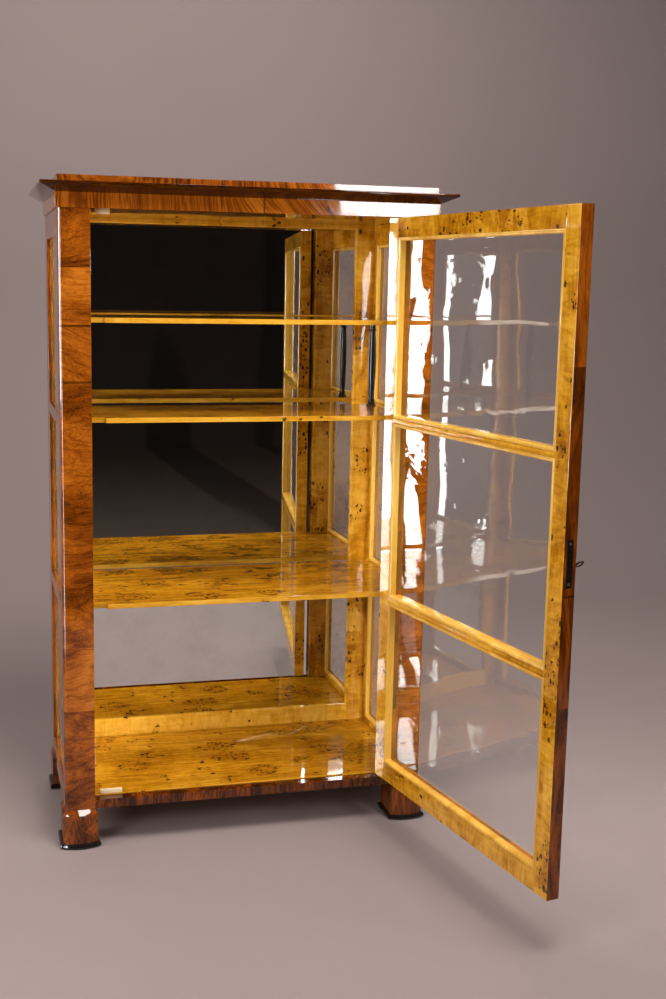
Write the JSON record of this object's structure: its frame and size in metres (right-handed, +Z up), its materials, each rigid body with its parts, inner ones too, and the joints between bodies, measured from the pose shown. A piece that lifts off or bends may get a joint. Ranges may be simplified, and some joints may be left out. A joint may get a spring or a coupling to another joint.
{
  "type": "glazed display cabinet",
  "caption": "Glazed display cabinet with shelves and a mirrored back, on block feet, with a framed glass door that turns on pivot hinges and a lock with a key.",
  "frame": {"origin": "centre of the body's footprint between the posts, on the floor", "axes": "+X to the right seen from the front, +Y into the cabinet towards its back, +Z up; the door opens towards -Y"},
  "size_m": [1.0118, 1.1714, 1.58],
  "materials": {
    "walnut": "red-brown walnut veneer under a very glossy french polish",
    "dark_walnut": "dark stained walnut under polish",
    "burl": "golden walnut burl veneer under polish",
    "maple": "pale wood, waxed",
    "ebonised": "ebonised wood under polish",
    "glass": "clear old window glass",
    "silvered": "silvered glass",
    "brass": "worn brass",
    "iron": "dark wrought iron, lightly worn"
  },
  "bodies": {
    "cabinet": {"front_post_left": "walnut", "front_post_right": "walnut", "rear_post_left": "walnut", "rear_post_right": "walnut", "side_top_rail_left": "walnut", "side_top_rail_right": "walnut", "side_bottom_rail_left": "walnut", "side_bottom_rail_right": "walnut", "side_bars_left": "burl", "side_bars_right": "burl", "side_panes_left": "glass", "side_panes_right": "glass", "side_beads_left": "burl", "side_beads_right": "burl", "front_rail": "dark_walnut", "floor_board": "burl", "roof_board": "burl", "frieze_front": "walnut", "frieze_left": "walnut", "frieze_right": "walnut", "cornice": "walnut", "top_plate": "walnut", "back_panel": "dark_walnut", "mirror_glass": "silvered", "mirror_stile_left": "burl", "mirror_stile_right": "burl", "mirror_bottom_rail": "burl", "mirror_top_rail": "burl", "shelf_upper": "burl", "shelf_middle": "burl", "shelf_lower": "burl", "shelf_battens": "burl", "column_left": "ebonised", "column_right": "ebonised", "door_stops": "maple", "foot_front_left": "walnut", "foot_front_right": "walnut", "foot_rear_left": "walnut", "foot_rear_right": "walnut", "front_pads": "ebonised", "rear_pads": "ebonised", "strike_plate": "brass", "hinge_leaves_frame": "brass"},
    "door": {"door_stile_hinge": "walnut", "door_stile_lock": "walnut", "door_rail_top": "walnut", "door_rail_bottom": "walnut", "door_bars": "burl", "door_pane_top": "glass", "door_pane_middle": "glass", "door_pane_bottom": "glass", "door_beads": "burl", "hinge_leaves_door": "brass", "lock_case": "iron", "lock_plate": "iron", "lock_screws": "iron", "escutcheon": "brass"},
    "bolt": {"lock_bolt": "iron"},
    "key": {"key": "iron"}
  },
  "joints": [
    {"name": "door_hinge", "type": "hinge", "parent": "cabinet", "child": "door", "pos_m": [0.359, -0.2195, 0.8], "axis": [0, 0, 1], "range_deg": [-100, 35]},
    {"name": "key_turn", "type": "hinge", "parent": "door", "child": "key", "pos_m": [0.48834, -0.91562, 0.81], "axis": [-0.9848, -0.1736, 0], "range_deg": [0, 360]},
    {"name": "bolt_slide", "type": "slide", "parent": "door", "child": "bolt", "axis": [0.1736, -0.9848, 0], "range_m": [0, 0.01]}
  ],
  "couplings": [
    {"joint": "bolt_slide", "follows": "key_turn", "m_per_rad": 0.0015915}
  ]
}
